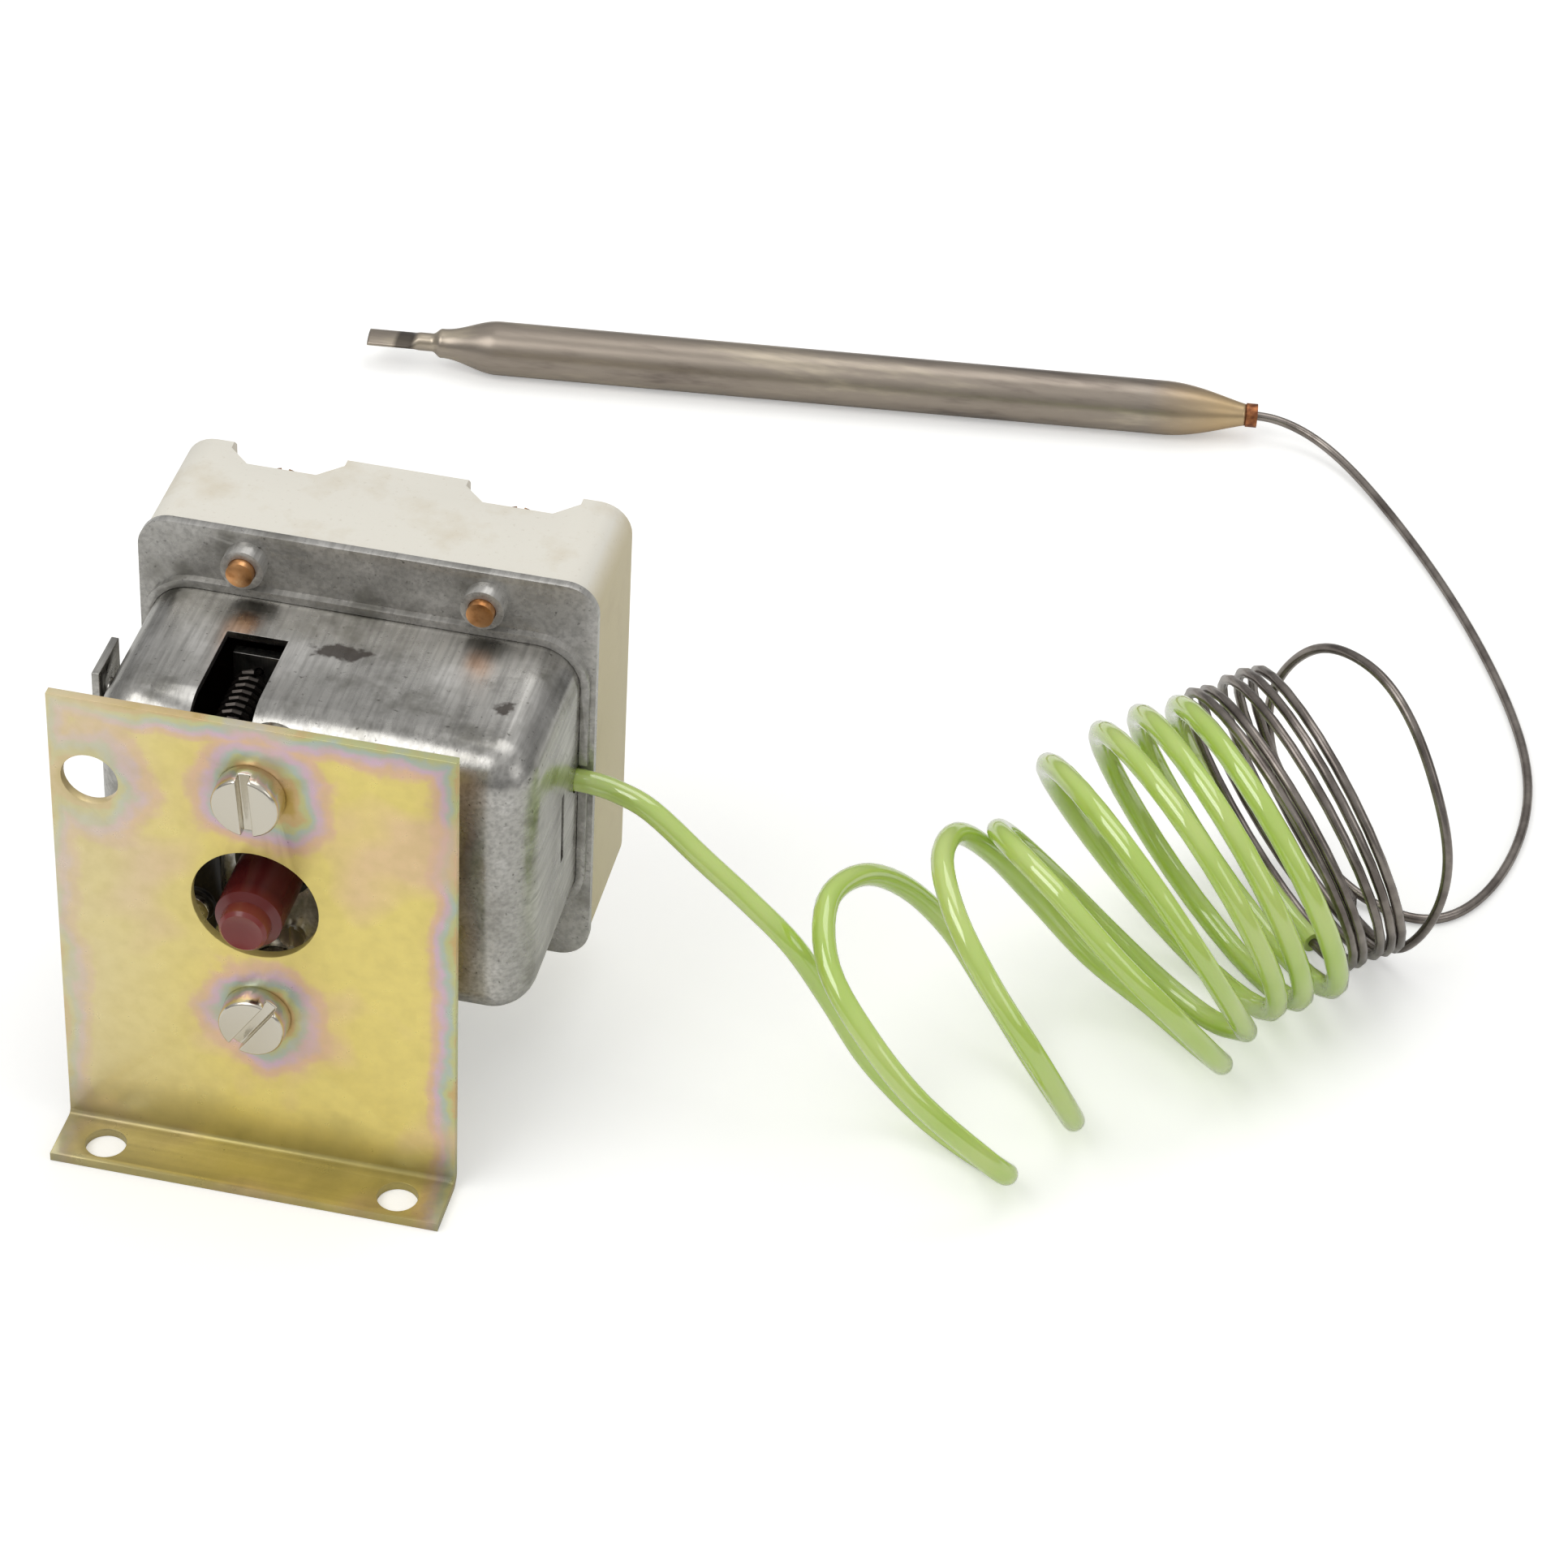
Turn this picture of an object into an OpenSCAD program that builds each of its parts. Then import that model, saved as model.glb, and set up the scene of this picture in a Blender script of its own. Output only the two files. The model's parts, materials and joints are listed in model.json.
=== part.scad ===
/* [Mounting bracket] */
// Width of the bracket plate
plate_w = 40.8; // [38:0.2:48]
// Height of the bracket plate
plate_h = 55; // [52:0.5:64]
// Thickness of the bracket sheet
sheet_t = 1; // [0.8:0.1:1.6]
// Depth of the foot flange in front of the plate
flange_d = 6.5; // [6:0.5:12]
// Inside radius of the bend
bend_r = 0.6; // [0.3:0.1:1.2]
// Distance between the two foot holes
foot_gap = 30.8; // [24:0.2:32]
// Diameter of the foot holes
foot_hole_d = 4.2; // [3.2:0.1:4.6]
// Distance of the foot holes in front of the plate
foot_setback = 3.6; // [3.2:0.1:5]
// Diameter of the round window for the button
window_d = 13; // [10:0.5:15]
// Diameter of the corner hole
corner_hole_d = 5.8; // [3:0.1:6.4]
// Distance of the corner hole from the plate's side edge
corner_in = 4; // [3.6:0.1:6]
// Distance of the corner hole from the plate's top edge
corner_down = 9.7; // [6:0.1:14]
// Height of the button's axis above the foot
axis_z = 33; // [32:0.5:36]

/* [Fixing screws] */
// Distance between the two fixing screws
screw_gap = 28; // [27:0.5:30]
// Thread diameter of the fixing screws
screw_d = 4; // [3:0.1:4.4]
// Head diameter of the fixing screws
head_d = 7; // [6:0.1:8]
// Head height of the fixing screws
head_h = 2.6; // [2:0.1:3.2]
// Width of the screwdriver slot
slot_w = 1.2; // [0.8:0.1:1.6]
// Depth of the screwdriver slot
slot_deep = 1.2; // [0.8:0.1:1.6]
// Length of the pillars between bracket and cover
pillar_len = 6.2; // [4:0.1:8]
// Diameter of the pillars
pillar_d = 5.6; // [5:0.1:6]

/* [Cover can] */
// Outer width of the drawn cover
can_w = 44.8; // [43:0.2:46]
// Outer height of the drawn cover
can_h = 33.2; // [32:0.2:36]
// Depth of the cover from its face to the rim plate
can_deep = 20.9; // [20.5:0.1:23]
// Sheet thickness of the cover
can_t = 0.8; // [0.6:0.1:1]
// Radius of the cover's drawn edges
can_r = 4.6; // [3.5:0.1:6]
// Sideways place of the cover's centre from the button's axis
can_x = 3.4; // [2.8:0.1:4]
// Width of the spring slot in the cover's top
slot_x = 6.3; // [5:0.1:7]
// Depth of the spring slot, back from the cover's face
slot_y = 14; // [10:0.5:16]
// Width of the lip round the cover's open end
lip_w = 1; // [0.6:0.1:1.3]

/* [Rim plate and base] */
// Width of the rim plate
rim_w = 47.6; // [47:0.2:52]
// Height of the rim plate
rim_h = 47.4; // [47:0.2:52]
// Thickness of the rim plate
rim_t = 1; // [0.8:0.1:1.4]
// Corner radius of rim plate and base
rim_r = 3.4; // [2.5:0.1:5]
// Depth of the ceramic base behind the rim plate
base_deep = 15.3; // [14.5:0.1:18]
// Thickness of the base's back wall
base_back = 5; // [4.6:0.1:6]
// Width of the contact chamber
chamber_w = 40; // [39:0.2:41]
// Height of the contact chamber
chamber_h = 34; // [33:0.2:35]
// Sideways distance of the base screws from the centre
base_screw_x = 12.4; // [11:0.1:14]
// Upward distance of the base screws from the centre
base_screw_z = 20.4; // [20:0.1:20.8]
// Thread diameter of the base screws
base_screw_d = 2.8; // [2.4:0.1:3.2]
// Depth of the screw notches in the base's back edge
notch_deep = 4.2; // [3.4:0.1:4.8]
// Width of a screw notch at its floor
notch_w = 7.3; // [6.6:0.1:9]

/* [Reset button] */
// Diameter of the button's tip
tip_d = 4.9; // [4:0.1:5.6]
// Diameter of the button's body
button_d = 6.8; // [6:0.1:7.4]
// How far the button stands out of the plate
button_out = 4.3; // [3:0.1:5]
// Travel of the button
button_travel = 2; // [1:0.1:2.2]
// Running clearance round the button
button_play = 0.08; // [0.05:0.01:0.1]
// Diameter of the button's stem
stem_d = 3; // [2.4:0.1:3.4]

/* [Trip mechanism] */
// Width of the steel frame between its cheeks
frame_w = 22; // [20:0.5:24]
// Thickness of the frame sheet
frame_t = 1; // [0.8:0.1:1.2]
// Diameter of the diaphragm capsule
capsule_d = 12.6; // [10:0.1:13]
// Thickness of the diaphragm capsule
capsule_t = 3; // [2.4:0.1:3.2]
// Diameter of the lever's hinge pin
pin_d = 1.6; // [1.2:0.1:2]
// Thickness of the lever sheet
lever_t = 1.2; // [0.8:0.1:1.4]
// Distance between the contact poles
pole_gap = 12.5; // [11.8:0.1:12.6]
// Half the distance between a pole's two contacts
contact_z = 9; // [8.5:0.1:10]
// Width of the terminal tabs
tab_w = 6.3; // [4.8:0.1:6.3]
// Thickness of the terminal tabs
tab_t = 0.8; // [0.5:0.1:0.9]
// Length of the terminal tabs behind the base
tab_len = 8.5; // [7:0.5:9]

/* [Capillary and bulb] */
// Diameter of the sensor bulb
bulb_d = 6.8; // [5:0.1:8]
// Length of the bulb's straight body
bulb_body = 84; // [60:1:110]
// Length of the bulb's cone on the capillary side
bulb_cone = 10.5; // [6:0.5:14]
// Length of the bulb's crimped end with its cone
bulb_tail = 16.5; // [14:0.5:20]
// Direction in which the bulb lies, from the X axis
bulb_turn = 7; // [0:1:12]
// Diameter of the sleeve over the capillary
sleeve_d = 2.4; // [2:0.1:3]
// Diameter of the bare capillary
capillary_d = 1.1; // [0.9:0.1:1.5]
// Diameter of the wound turns, at the sleeve's outside
coil_d = 35.4; // [30:0.2:40]

/* [Hidden] */
$fn = 48;
eps = 0.01;
fit_gap = 0.05;
seat_gap = 0.2;
plate_y = foot_setback;
plate_back = plate_y + sheet_t;
can_front = plate_back + pillar_len;
rim_front = can_front + can_deep;
rim_back = rim_front + rim_t;
base_end = rim_back + base_deep;
chamber_end = base_end - base_back;
chamber_deep = chamber_end - rim_back;
can_in = can_front + can_t;
screw_z = screw_gap / 2;

/* Where the sleeve leaves the cover */
exit_y = rim_front - 1.6;
exit_z = axis_z + 1;
exit_x = can_x + can_w / 2;

/* Button guide and button */
barrel_d = button_d + 1.4;
barrel_out = 0.6;
guide_h = 12.6;
guide_w = 13;
guide_wall = 0.8;
collar_d = button_d + 2;
collar_t = 1;
web_front = can_in + fit_gap;
guide_front = web_front + frame_t;
guide_face = 0.9;
collar_y = guide_front + guide_face + 0.1;
spring_room = 4.5 + button_travel - 2;
guide_end = collar_y + collar_t + spring_room + guide_wall;
button_tip = plate_y - button_out;
tip_len = 1.7;

/* Lever, frame and capsule */
pivot_z = axis_z - 4.5;
lever_y = guide_end + 5;
pivot_y = lever_y + lever_t + pin_d / 2 + 0.4;
knuckle_d = pin_d + 1.6;
lever_w = 17.2;
lever_low = axis_z - 12.5;
lever_high = axis_z + 10;
tongue_high = axis_z + 14;
trip_angle = 9;
spring_x = can_x - 9.2;
spring_z = axis_z + 12;
capsule_z = can_bottom_in() + capsule_d / 2 + 0.3;
capsule_y = guide_end + 0.5;
capsule_x = 1.6;
neck_d = 4;
frame_low = axis_z - can_h / 2 + can_r;
frame_high = axis_z + can_h / 2 - can_r;
cheek_low = pivot_z - 6;
cheek_high = pivot_z + 6;
stem_end = lever_y - 1 - button_travel;

/* Contacts and carrier */
contact_d = 4;
fixed_t = 0.8;
fixed_face = chamber_end - fixed_t - 1.2;
bridge_t = 0.8;
bridge_w = 5;
bridge_tip = 0.25;
bridge_back = fixed_face - 0.15 - bridge_tip;
bridge_front = bridge_back - bridge_t;
carrier_back = bridge_back + 0.8;
carrier_front = carrier_back - 6.4;
carrier_h = 8;
carrier_w = chamber_w - 0.6;
window_w = bridge_w + 0.4;
window_front = carrier_front + 1.4;
window_back = bridge_back + 0.15;
carrier_stroke = 1.7;
push_z = axis_z + 7;
push_d = 4;
pocket_d = 4.4;
pocket_front = carrier_front + 2;

/* Cord places: they stay as chosen */
bulb_end = [80, 162];
coil_from = [64.5, 19.5];
coil_dir = 53.2;
sleeve_coil_len = 48.5;
capillary_coil_len = 14;
sleeve_route = [
    [exit_x - 1.2, exit_y, exit_z], [27, 30.1, 34], [30, 30, 33.5], [34, 29, 32.5],
    [40, 27.5, 28.5], [45, 26.5, 25], [50, 25, 21.5], [54, 25.5, 15], [58, 25.5, 8.5]
];
capillary_route = [
    [104, 68, 2], [109, 65, 1], [111, 63, 3.5], [113.5, 60, 10.5], [114, 59, 17], [113.5, 59.5, 21.5],
    [111.5, 61, 26.5], [109, 63.5, 31], [106.5, 66, 33.5], [103.5, 69.5, 35], [99.5, 73.5, 34],
    [96.5, 77.5, 31.5], [93.5, 81, 26.5], [91.5, 83, 20.5], [91.5, 83.5, 15], [93.5, 82, 9.5],
    [97, 79, 5], [101, 76, 2], [105.5, 73.5, 0.8], [110.5, 71.5, 0.6], [115.5, 72.5, 0.6],
    [120, 80.5, 0.6], [122, 92, 0.6], [121.5, 102.5, 0.6], [118, 114, 0.6], [113, 126, 0.6],
    [107, 138, 0.6], [100, 149.5, 0.6], [93.5, 158.5, 1], [88, 162, 2.4], [83.5, 162.4, 3.3],
    [81.5, 162.2, 3.4]
];

function can_bottom_in() = axis_z - can_h / 2 + can_t;

/* Sweeps a round section along points: rings stand square to the path, caps are flat */
function unit(v) = v / norm(v);
function tangent(p, i) =
    let (n = len(p) - 1)
    unit(p[min(i + 1, n)] - p[max(i - 1, 0)]);
function carried(side, t) = unit(side - (side * t) * t);
function sides(p, s, i = 0) =
    i == len(p) ? [] :
    let (now = carried(s, tangent(p, i)))
    concat([now], sides(p, now, i + 1));
function ring(c, t, s, r, n) =
    let (w = cross(t, s))
    [for (k = [0 : n - 1]) c + r * (cos(360 * k / n) * s + sin(360 * k / n) * w)];
module sweep(path, r, n, start = [0.1, 0.2, 1]) {
    turned = sides(path, carried(start, tangent(path, 0)));
    rings = len(path);
    pts = [for (i = [0 : rings - 1]) each ring(path[i], tangent(path, i), turned[i], r, n)];
    walls = [
        for (i = [0 : rings - 2]) for (k = [0 : n - 1])
            let (a = i * n + k, b = i * n + (k + 1) % n)
            each [[a, b + n, b], [a, a + n, b + n]]
    ];
    front = [[for (k = [0 : n - 1]) k]];
    back = [[for (k = [n - 1 : -1 : 0]) (rings - 1) * n + k]];
    polyhedron(points = pts, faces = concat(walls, front, back));
}

/* A smooth curve through the route's points, with the same number of rings per span */
function spline(p, i, u) =
    let (
        n = len(p) - 1,
        a = p[max(i - 1, 0)], b = p[i], c = p[i + 1], d = p[min(i + 2, n)]
    )
    0.5 * (2 * b + (c - a) * u + (2 * a - 5 * b + 4 * c - d) * u * u
        + (3 * b - a - 3 * c + d) * u * u * u);
function smooth(p, per) = concat(
    [for (i = [0 : len(p) - 2]) for (k = [0 : per - 1]) spline(p, i, k / per)],
    [p[len(p) - 1]]
);

/* A helical spring whose axis runs along +Y from the origin, with closed ends */
function helix(r, length, turns, per) = [
    for (k = [0 : turns * per])
        let (u = k / (turns * per), rise = u < 0.12 ? 0.3 * u : u > 0.88 ? 1 - 0.3 * (1 - u)
            : 0.036 + 0.928 * (u - 0.12) / 0.76)
        [r * cos(360 * k / per), rise * length, r * sin(360 * k / per)]
];
module spring(d, wire, length, turns, per = 12, n = 6) {
    translate([0, wire / 2, 0])
        sweep(helix((d - wire) / 2, length - wire, turns, per), wire / 2, n, [1, 0.1, 0]);
}

module along_y(y) {
    translate([0, y, 0]) rotate([-90, 0, 0]) children();
}
module bar_y(d, from, to) {
    along_y(from) cylinder(d = d, h = to - from);
}
/* An outline in X and Z, extruded from one Y to another */
module slab(from, to) {
    translate([0, to, 0]) rotate([90, 0, 0]) linear_extrude(to - from) children();
}
module rounded(w, h, r) {
    hull()
        for (x = [-1, 1]) for (z = [-1, 1])
            translate([x * (w / 2 - r), z * (h / 2 - r)]) circle(r, $fn = 32);
}
/* A rounded rectangle without a hull, so that its corners stay true arcs */
module plate_outline(w, h, r) {
    square([w - 2 * r, h], center = true);
    square([w, h - 2 * r], center = true);
    for (x = [-1, 1]) for (z = [-1, 1])
        translate([x * (w / 2 - r), z * (h / 2 - r)]) circle(r);
}
/* The same on the head's centre */
module at_head() {
    translate([can_x, 0, axis_z]) children();
}

module bracket() color("goldenrod") {
    bend_out = bend_r + sheet_t;
    difference() {
        union() {
            translate([-plate_w / 2, plate_y, bend_out])
                cube([plate_w, sheet_t, plate_h - bend_out]);
            translate([-plate_w / 2, plate_y - flange_d, 0])
                cube([plate_w, flange_d - bend_r, sheet_t]);
            translate([-plate_w / 2, plate_y - bend_r, bend_out]) rotate([90, 0, 90])
                linear_extrude(plate_w) difference() {
                    intersection() {
                        circle(bend_out);
                        translate([0, -bend_out]) square(bend_out);
                    }
                    circle(bend_r);
                }
        }
        for (x = [-1, 1])
            translate([x * foot_gap / 2, 0, -1]) cylinder(d = foot_hole_d, h = sheet_t + 2);
        translate([0, 0, axis_z]) bar_y(window_d, plate_y - 1, plate_back + 1);
        for (z = [-1, 1])
            translate([0, 0, axis_z + z * screw_z]) bar_y(screw_d + 0.3, plate_y - 1, plate_back + 1);
        translate([-plate_w / 2 + corner_in, 0, plate_h - corner_down])
            bar_y(corner_hole_d, plate_y - 1, plate_back + 1);
    }
}

/* A slotted cheese head, its seat at Y = 0 and its shank running along +Y */
module cheese_screw(turn, shank) {
    edge = 0.3;
    rotate([0, turn, 0]) difference() {
        union() {
            rotate([90, 0, 0]) rotate_extrude()
                polygon([
                    [0, 0], [head_d / 2, 0], [head_d / 2 - edge / 3, head_h - edge],
                    [head_d / 2 - edge, head_h], [0, head_h]
                ]);
            bar_y(screw_d - 2 * fit_gap, -eps, shank);
        }
        translate([-slot_w / 2, -head_h - 1, -head_d]) cube([slot_w, slot_deep + 1, 2 * head_d]);
    }
}
module bracket_screws() color("gainsboro") {
    translate([0, plate_y, axis_z + screw_z]) cheese_screw(-4, sheet_t + pillar_len - 0.6);
    translate([0, plate_y, axis_z - screw_z]) cheese_screw(34, sheet_t + pillar_len - 0.6);
}

module pillars() color("silver") {
    for (z = [-1, 1]) translate([0, 0, axis_z + z * screw_z]) difference() {
        bar_y(pillar_d, plate_back, can_in);
        bar_y(screw_d, plate_back - 1, can_front);
    }
}

/* Solid of the drawn cover's outside or inside: flat back at rim_back, all other edges round */
module drawn_body(w, h, front, r) {
    hull() {
        for (x = [-1, 1]) for (z = [-1, 1]) {
            translate([x * (w / 2 - r), front + r, z * (h / 2 - r)]) sphere(r, $fn = 32);
            translate([x * (w / 2 - r), 0, z * (h / 2 - r)])
                along_y(front + r) cylinder(r = r, h = rim_back - front - r, $fn = 32);
        }
    }
}
module cover_can() color("darkgray") {
    difference() {
        union() {
            at_head() drawn_body(can_w, can_h, can_front, can_r);
            at_head() slab(rim_back, rim_back + can_t)
                rounded(can_w + 2 * lip_w, can_h + 2 * lip_w, can_r + lip_w);
        }
        at_head() hull() {
            for (x = [-1, 1]) for (z = [-1, 1]) {
                inner_r = can_r - can_t;
                move = [x * (can_w / 2 - can_r), 0, z * (can_h / 2 - can_r)];
                translate(move + [0, can_front + can_r, 0]) sphere(inner_r, $fn = 32);
                translate(move) along_y(can_front + can_r)
                    cylinder(r = inner_r, h = rim_back - can_front, $fn = 32);
            }
        }
        translate([spring_x - slot_x / 2, can_front - 1, axis_z + can_h / 2 - can_r])
            cube([slot_x, slot_y + 1, can_r + 1]);
        translate([0, 0, axis_z]) bar_y(barrel_d + 0.3, can_front - 1, can_in + 1);
        for (z = [-1, 1])
            translate([0, 0, axis_z + z * screw_z])
                bar_y(pillar_d + 2 * fit_gap, can_front - 1, can_in);
        sleeve_notch();
        translate([exit_x - can_t - 1, exit_y - 6, axis_z - 5.2]) cube([can_t + 2, 1.1, 8.4]);
        insulator_hole();
        calibration_hole(neck_d - 1.6 + 2 * fit_gap);
    }
}
/* Open-ended notch through which the sleeve passes */
module sleeve_notch() {
    translate([exit_x - 2, exit_y, exit_z]) rotate([0, 90, 0]) cylinder(d = sleeve_d + 0.4, h = 5);
    translate([exit_x - 2, exit_y, exit_z - sleeve_d / 2 - 0.2])
        cube([5, rim_front - exit_y + eps, sleeve_d + 0.4]);
}
insulator_x = -8.1;
insulator_z = axis_z - 6.2;
module insulator_hole() {
    translate([insulator_x, 0, insulator_z]) bar_y(2.1, can_front - 3, can_in + 2);
}
module calibration_hole(d) {
    translate([capsule_x, 0, capsule_z]) bar_y(d, can_front - 3, guide_front + 1);
}

module rim_plate() color("silver") {
    bead_t = 0.9;
    bead_out = 0.9;
    collar_out = 1.8;
    difference() {
        union() {
            at_head() slab(rim_front, rim_back) plate_outline(rim_w, rim_h, rim_r);
            at_head() slab(rim_front - bead_out, rim_front + eps)
                rounded(can_w + 2 * bead_t, can_h + 2 * bead_t, can_r + bead_t);
            for (x = [-1, 1]) for (z = [-1, 1])
                translate([can_x + x * base_screw_x, 0, axis_z + z * base_screw_z])
                    bar_y(base_screw_d + 1.7, rim_front - collar_out, rim_front + eps);
        }
        at_head() slab(rim_front - bead_out - 1, rim_back + 1)
            rounded(can_w + 2 * fit_gap, can_h + 2 * fit_gap, can_r + fit_gap);
        for (x = [-1, 1]) for (z = [-1, 1])
            translate([can_x + x * base_screw_x, 0, axis_z + z * base_screw_z])
                bar_y(base_screw_d + 2 * fit_gap, rim_front - collar_out - 1, rim_back + 1);
        sleeve_notch();
    }
}

/* Back outline of one notch: wide at the back face, narrowing to its floor */
module notch_cut() {
    flare = 2.35;
    floor_z = base_screw_z - 3.2;
    top = rim_h / 2 - floor_z + 1;
    translate([0, 0, floor_z]) linear_extrude(top) polygon([
        [-notch_w / 2, base_end - notch_deep], [notch_w / 2, base_end - notch_deep],
        [notch_w / 2 + flare, base_end - notch_deep + flare], [notch_w / 2 + flare, base_end + 1],
        [-notch_w / 2 - flare, base_end + 1], [-notch_w / 2 - flare, base_end - notch_deep + flare]
    ]);
}
module ceramic_base() color("ivory") {
    rail = 2.4;
    well_w = 10.4;
    well_h = 33;
    well_deep = 1.4;
    edge = 0.8;
    difference() {
        union() {
            at_head() hull() {
                slab(rim_back, base_end - edge) rounded(rim_w - 0.4, rim_h - 0.4, rim_r);
                slab(rim_back, base_end)
                    rounded(rim_w - 0.4 - 2 * edge, rim_h - 0.4 - 2 * edge, rim_r - edge / 2);
            }
        }
        at_head() slab(rim_back - 1, chamber_end) rounded(chamber_w, chamber_h, 1.5);
        at_head() slab(rim_back - 1, rim_back + can_t + fit_gap)
            rounded(can_w + 2 * lip_w + 0.2, can_h + 2 * lip_w + 0.2, can_r + lip_w);
        at_head() for (s = [0, 180]) rotate([0, s, 0]) for (x = [-1, 1])
            translate([x * base_screw_x, 0, 0]) {
                notch_cut();
                translate([0, 0, base_screw_z])
                    bar_y(base_screw_d + 0.5, rim_back - 1, base_end + 1);
            }
        for (p = [-1 : 1]) translate([can_x + p * pole_gap, 0, axis_z]) {
            translate([-well_w / 2, base_end - well_deep, -well_h / 2])
                cube([well_w, well_deep + 1, well_h]);
            for (s = [-1, 1])
                translate([-tab_w / 2 - fit_gap, chamber_end - 1, s * tab_place() - tab_t / 2 - fit_gap])
                    cube([tab_w + 2 * fit_gap, base_back + 2, tab_t + 2 * fit_gap]);
        }
    }
    for (x = [-1, 1]) for (z = [-1, 1])
        translate([
            can_x + x * (chamber_w / 2 - rail / 2), rim_back + 1.4,
            axis_z + z * (carrier_h / 2 + 0.3 + rail / 2)
        ])
            translate([-rail / 2, 0, -rail / 2]) cube([rail, chamber_end - rim_back - 1.4 + eps, rail]);
}
function tab_place() = contact_z + contact_d / 2 + 0.7;

module base_screws() color("peru") {
    screw_head = 4.6;
    seat = base_end - notch_deep;
    for (x = [-1, 1]) for (z = [-1, 1])
        translate([can_x + x * base_screw_x, 0, axis_z + z * base_screw_z]) difference() {
            union() {
                bar_y(base_screw_d, rim_front - 2.7, seat + eps);
                bar_y(screw_head, seat, seat + 1.4);
            }
            translate([-0.4, seat + 0.7, -screw_head]) cube([0.8, 2, 2 * screw_head]);
        }
}

module ground_tab() color("rosybrown") {
    wall_x = can_x - can_w / 2;
    off = 1.1;
    top = axis_z + 14;
    foot_top = axis_z + 4;
    low = axis_z - 2;
    y = can_front + 7;
    difference() {
        union() {
            translate([wall_x - off - tab_t, y, foot_top]) cube([tab_t, tab_w, top - foot_top]);
            translate([wall_x - off - tab_t, y, foot_top - tab_t]) cube([off + tab_t, tab_w, tab_t]);
            translate([wall_x - tab_t, y, low]) cube([tab_t, tab_w, foot_top - low]);
        }
        translate([wall_x - off - tab_t - 1, y + tab_w / 2, top - 3.6])
            rotate([0, 90, 0]) cylinder(d = 1.6, h = tab_t + 2);
        for (s = [0, 1])
            translate([wall_x - off - tab_t - 1, y + s * tab_w, top]) rotate([45, 0, 0])
                cube([tab_t + 2, 1.6, 1.6], center = false);
    }
}

/* Moulded insulator on the cover's face, beside the button */
module front_insulator() color("dimgray") {
    t = 1.2;
    difference() {
        union() {
            translate([0, 0, axis_z]) slab(can_front - t, can_front) polygon([
                [-12.5, -9.5], [-6.2, -9.5], [-5.4, -6], [-5.4, 7], [-6.4, 9], [-12.5, 9]
            ]);
            translate([insulator_x, 0, insulator_z]) bar_y(4.2, can_front - t - 0.5, can_front);
        }
        translate([insulator_x, 0, insulator_z]) bar_y(2.1, can_front - 3, can_front + 1);
    }
}
module insulator_screw() color("gray") {
    translate([insulator_x, 0, insulator_z]) difference() {
        union() {
            bar_y(3.4, can_front - 2.5, can_front - 1.7);
            bar_y(2, can_front - 2, can_in);
        }
        for (turn = [20, 110]) rotate([0, turn, 0])
            translate([-0.25, can_front - 3, -1.1]) cube([0.5, 0.9, 2.2]);
    }
}
module mechanism_frame() color("lightsteelblue") {
    inner = frame_w / 2;
    hook_w = 4;
    hook_back = 0.4;
    difference() {
        union() {
            translate([-inner - frame_t, web_front, frame_low])
                cube([2 * inner + 2 * frame_t, frame_t, frame_high - frame_low]);
            for (s = [-1, 1])
                translate([s * (inner + frame_t / 2) - frame_t / 2, web_front, cheek_low])
                    cube([frame_t, pivot_y + 3 - web_front, cheek_high - cheek_low]);
            translate([spring_x - hook_w / 2, web_front + hook_back, frame_high - 2])
                cube([hook_w, frame_t, spring_z + 1.1 - frame_high + 2]);
        }
        translate([0, 0, axis_z]) bar_y(barrel_d + 0.2, can_in - 1, guide_front + 1);
        translate([inner - 1, capsule_y, cheek_low - 1])
            cube([frame_t + 2, capsule_t + 1, capsule_z + 2.2 - cheek_low]);
        translate([-inner - 2, pivot_y, pivot_z]) rotate([0, 90, 0])
            cylinder(d = pin_d + 0.04, h = 2 * inner + 4);
        calibration_hole(neck_d + 2 * fit_gap);
        insulator_hole();
        translate([spring_x, 0, spring_z]) bar_y(0.8, can_in - 1, guide_front + 2);
    }
}

module button_guide() color("dimgray") {
    difference() {
        union() {
            translate([0, 0, axis_z]) bar_y(barrel_d, can_front - barrel_out, guide_front + eps);
            translate([-guide_w / 2, guide_front, axis_z - 2.2])
                cube([guide_w, guide_end - guide_front, 8.2]);
            translate([0, 0, axis_z]) bar_y(guide_h - 1.4, guide_front, guide_end);
        }
        translate([0, 0, axis_z]) {
            bar_y(button_d + 2 * button_play, can_front - 2, collar_y);
            bar_y(collar_d + 0.4, collar_y - 0.1, guide_end - guide_wall);
            bar_y(stem_d + 0.4, guide_end - guide_wall - 1, guide_end + 1);
        }
    }
}

module reset_button() color("maroon") {
    dish_r = 5;
    translate([0, 0, axis_z]) difference() {
        rotate([-90, 0, 0]) rotate_extrude()
            polygon([
                [0, button_tip], [tip_d / 2 - 0.35, button_tip], [tip_d / 2, button_tip + 0.35],
                [tip_d / 2 + 0.1, button_tip + tip_len], [button_d / 2, button_tip + tip_len + 0.5],
                [button_d / 2, collar_y], [collar_d / 2, collar_y], [collar_d / 2, collar_y + collar_t],
                [stem_d / 2, collar_y + collar_t], [stem_d / 2, stem_end], [0, stem_end]
            ]);
        translate([0, button_tip - dish_r + 0.45, 0]) sphere(dish_r);
    }
}
module button_spring() color("silver") {
    translate([0, collar_y + collar_t + 0.1, axis_z])
        spring(collar_d - 0.6, 0.5, spring_room - 0.2, 3.5);
}

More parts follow.
